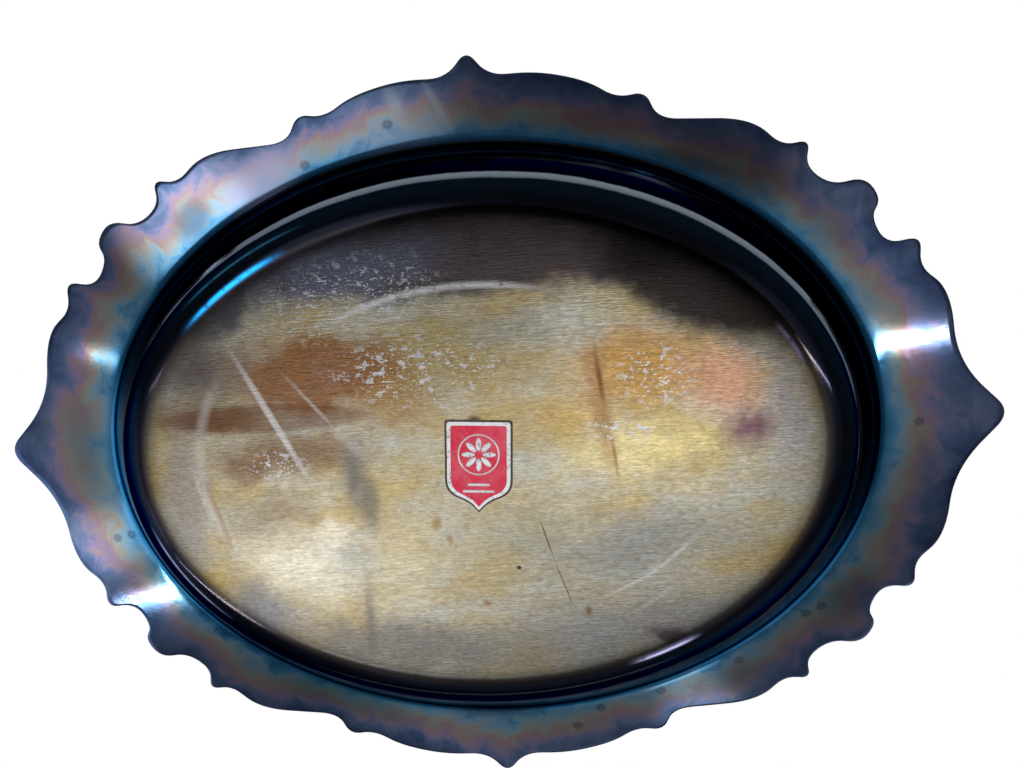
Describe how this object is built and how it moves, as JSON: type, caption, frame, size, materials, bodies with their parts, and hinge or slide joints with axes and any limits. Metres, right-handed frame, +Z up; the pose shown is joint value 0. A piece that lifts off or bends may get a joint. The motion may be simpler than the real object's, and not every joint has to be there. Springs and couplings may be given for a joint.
{
  "type": "oval salver",
  "caption": "Oval well-and-rim serving salver with a scalloped, pointed edge, a cast shell-and-scroll border on the rim and a small foil label under the base.",
  "frame": {"origin": "middle of the surface that the salver stands on", "axes": "+X along the long axis, +Y towards the back long side, +Z up out of the well"},
  "size_m": [0.4566, 0.33, 0.0512],
  "materials": {
    "tarnished_plate": "polished",
    "cast_border": "gloss",
    "foil_label": "gloss"
  },
  "bodies": {
    "root": {"tray_body": "tarnished_plate", "end_shell_right": "cast_border", "end_shell_left": "cast_border", "side_shell_front": "cast_border", "side_shell_back": "cast_border", "corner_cluster_back_right": "cast_border", "corner_cluster_back_left": "cast_border", "corner_cluster_front_left": "cast_border", "corner_cluster_front_right": "cast_border", "long_scroll_back_right": "cast_border", "long_scroll_back_left": "cast_border", "long_scroll_front_left": "cast_border", "long_scroll_front_right": "cast_border", "short_scroll_back_right": "cast_border", "short_scroll_back_left": "cast_border", "short_scroll_front_left": "cast_border", "short_scroll_front_right": "cast_border", "label": "foil_label"}
  },
  "joints": []
}
